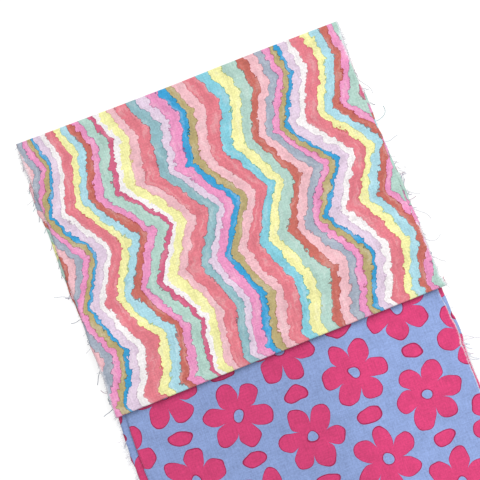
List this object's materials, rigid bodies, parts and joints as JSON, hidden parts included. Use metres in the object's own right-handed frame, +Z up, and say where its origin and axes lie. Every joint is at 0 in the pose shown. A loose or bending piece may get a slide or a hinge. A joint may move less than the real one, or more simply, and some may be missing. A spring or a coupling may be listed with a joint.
{
  "type": "quarter-yard fabric bundle",
  "caption": "Folded cuts of printed quilting cotton, raw-edged, with one tucked under the near fold of the other.",
  "frame": {"origin": "on the table, under the middle of the bundle's box", "axes": "+X across the cuts from raw edge to raw edge, +Y from the lower cut towards the upper cut's far fold, +Z up"},
  "size_m": [0.2312, 0.348, 0.017],
  "materials": {
    "upper_cloth": "matt plain-weave cotton, printed all over in uneven bands of many colours",
    "lower_cloth": "matt plain-weave cotton, printed with large pink flowers on periwinkle blue"
  },
  "bodies": {
    "root": {"upper_cut": "upper_cloth", "lower_cut": "lower_cloth"}
  },
  "joints": []
}
